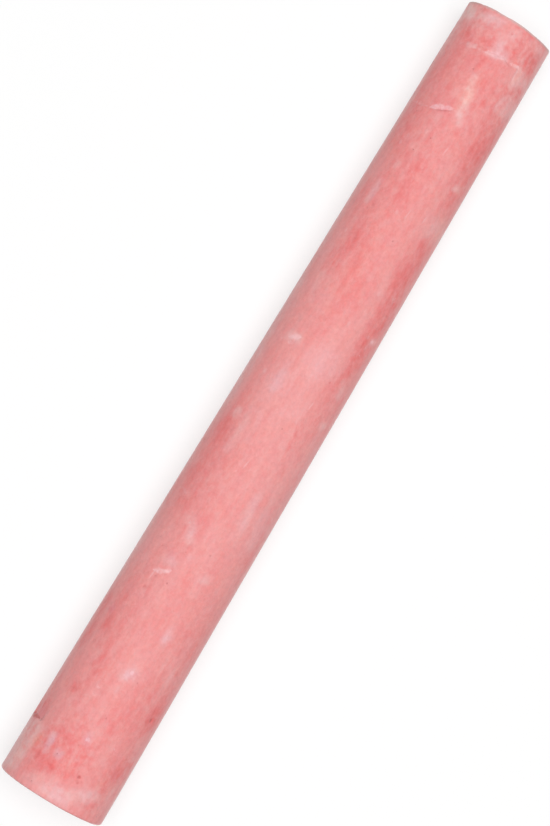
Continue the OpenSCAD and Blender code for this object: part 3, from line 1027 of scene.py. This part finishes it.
DUST_TINT = "#F0C5C4"
DRIFT_CONTRAST, DRIFT_START = 3.2, -0.85
drifts = add(tree, "Math", {1: DRIFT_CONTRAST, 2: DRIFT_START}, {0: cloudy["drifts"]},
             operation="MULTIPLY_ADD", use_clamp=True)
dusty = add(tree, "Math", None, {0: painted["dust"], 1: drifts}, operation="MULTIPLY")
colour = add(tree, "Mix", {7: srgb(DUST_TINT)}, {0: dusty, 6: ramp}, data_type="RGBA").outputs[2]

# the last layer is the painted grey shade of the rims and the painted grazing sheen of the flanks
# raggedness, where it starts and is full, colour
CRISP_LAYERS = {"scuff": (1.4, 0.15, 1.5, "#F9C4C6"), "pit": (0.5, 0.1, 1.0, "#CC6664"),
                "grime": (0.8, 0.1, 1.2, "#D2ADA9")}
for mark, (ragged_by, starts, full, tint) in CRISP_LAYERS.items():
    rough = add(tree, "Math", {1: ragged_by}, {0: cloudy[mark], 2: painted[mark]},
                operation="MULTIPLY_ADD")
    amount = add(tree, "MapRange",
                 {"From Min": starts + ragged_by / 2, "From Max": full + ragged_by / 2},
                 {"Value": rough}, interpolation_type="SMOOTHSTEP")
    colour = add(tree, "Mix", {7: srgb(tint)}, {0: amount, 6: colour}, data_type="RGBA").outputs[2]
print("shades:", len(SHADES), "nodes so far:", len(tree.nodes))

# %% [markdown]
# A cloud and the painted tones shift red up and blue down where the skin is yellowish, and the
# other way where it is lilac.

# %% Yellowish and lilac tones
TONE_SHIFT = (0.05, 0.0, -0.10)
tone = sum_of(-0.5, (painted["tone"], 1), (cloudy["hue"], 1))
shift = add(tree, "VectorMath", {0: TONE_SHIFT}, {"Scale": tone}, operation="SCALE")
shifted = add(tree, "VectorMath", {1: (1, 1, 1)}, {0: shift}, operation="ADD")
colour = add(tree, "VectorMath", None, {0: colour, 1: shifted}, operation="MULTIPLY")
print("tone shift in red, green and blue:", TONE_SHIFT)

# %% [markdown]
# Flecks of talc, short pale ticks and open pores are too many to note one by one. A Voronoi pattern
# scatters them: each cell holds one spot, and only some are kept.

# %% Flecks and pores
def dots(size, across, drawn_out, tilt, share):
    """Spots size mm apart and across mm wide, drawn out and tilted. Only a share is kept."""
    tilted = add(tree, "Mapping",
                 {"Rotation": (0, 0, math.radians(tilt)), "Scale": (1 / MM / size,) * 3},
                 {"Vector": object_places})
    drawn = add(tree, "VectorMath", {1: (1 / drawn_out, 1, 1)}, {0: tilted}, operation="MULTIPLY")
    cells = add(tree, "TexVoronoi", {"Scale": 1.0, "Randomness": 1.0}, {"Vector": drawn})
    half = across / 2 / size
    spot = add(tree, "MapRange",
               {"From Min": half * 0.5, "From Max": half * 1.3, "To Min": 1.0, "To Max": 0.0},
               {"Value": cells.outputs["Distance"]}, interpolation_type="SMOOTHSTEP")
    chance = add(tree, "SeparateColor", None, {0: cells.outputs["Color"]})
    kept = add(tree, "Math", {1: share}, {0: chance}, operation="LESS_THAN")
    return add(tree, "Math", None, {0: spot, 1: kept}, operation="MULTIPLY")


FLECK_TINT, PORE_TINT = "#F5C4C6", "#C9716C"
flecks = dots(size=1.3, across=0.34, drawn_out=1.4, tilt=0, share=0.2)
ticks = dots(size=0.9, across=0.16, drawn_out=7, tilt=8, share=0.3)
cross_ticks = dots(size=1.0, across=0.15, drawn_out=6, tilt=-62, share=0.12)
pores = dots(size=0.8, across=0.15, drawn_out=1, tilt=0, share=0.08)
for spots, strength, tint in ((flecks, 0.25, FLECK_TINT), (ticks, 0.35, FLECK_TINT),
                              (cross_ticks, 0.3, FLECK_TINT), (pores, 0.25, PORE_TINT)):
    amount = add(tree, "Math", {1: strength}, {0: spots}, operation="MULTIPLY")
    colour = add(tree, "Mix", {7: srgb(tint)}, {0: amount, 6: colour}, data_type="RGBA").outputs[2]
print("nodes so far:", len(tree.nodes))

# %% [markdown]
# Last come the grain and the streaks, as light and dark and as relief too fine for the mesh. The
# end faces have no skin, so they are rougher, and the blade drew lines across the cut one. Dry
# chalk has a roughness of about 0.9. Here it is a little lower, and the sheen of its dust lights up
# the flanks, as in the photograph.

# %% Grain, relief and sheen
STREAKS_SHOW = 0.07
GRAIN_SHOW = 0.28
streaks, grain = cloudy["streaks"], cloudy["grain"]
lightness = sum_of(1 - STREAKS_SHOW / 2 - GRAIN_SHOW / 2, (streaks, STREAKS_SHOW),
                   (grain, GRAIN_SHOW))
colour = add(tree, "VectorMath", None, {0: colour, "Scale": lightness}, operation="SCALE")
rough_face, blade_lines = (
    add(tree, "Math", None, {0: cloudy[cloud], 1: painted[face]}, operation="MULTIPLY")
    for cloud, face in (("rough face", "raw_face"), ("blade lines", "cut_face")))

# heights in thousandths of a millimetre
relief = sum_of(
    0, (cloudy["speckle"], 60), (grain, 20), (streaks, 15), (flecks, 6), (pores, -40),
    (painted["scuff"], -15), (ticks, -8), (cross_ticks, -8), (rough_face, 160), (blade_lines, 110))
bump = add(tree, "Bump", {"Strength": 1.0, "Distance": MM / 1000}, {"Height": relief})
skin = add(tree, "BsdfPrincipled", {"Roughness": 0.75, "Specular IOR Level": 0.4,
                                    "Sheen Weight": 0.42, "Sheen Roughness": 0.35},
           {"Base Color": colour, "Normal": bump})
tree.links.new(skin.outputs[0], output.inputs["Surface"])
stick.data.materials.append(chalk)
print("nodes in the chalk:", len(tree.nodes))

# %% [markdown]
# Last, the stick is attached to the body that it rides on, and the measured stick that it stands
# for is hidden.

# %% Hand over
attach(stick, "root")
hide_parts("chalk_stick")
stick.data.calc_loop_triangles()
print("triangles:", len(stick.data.loop_triangles))
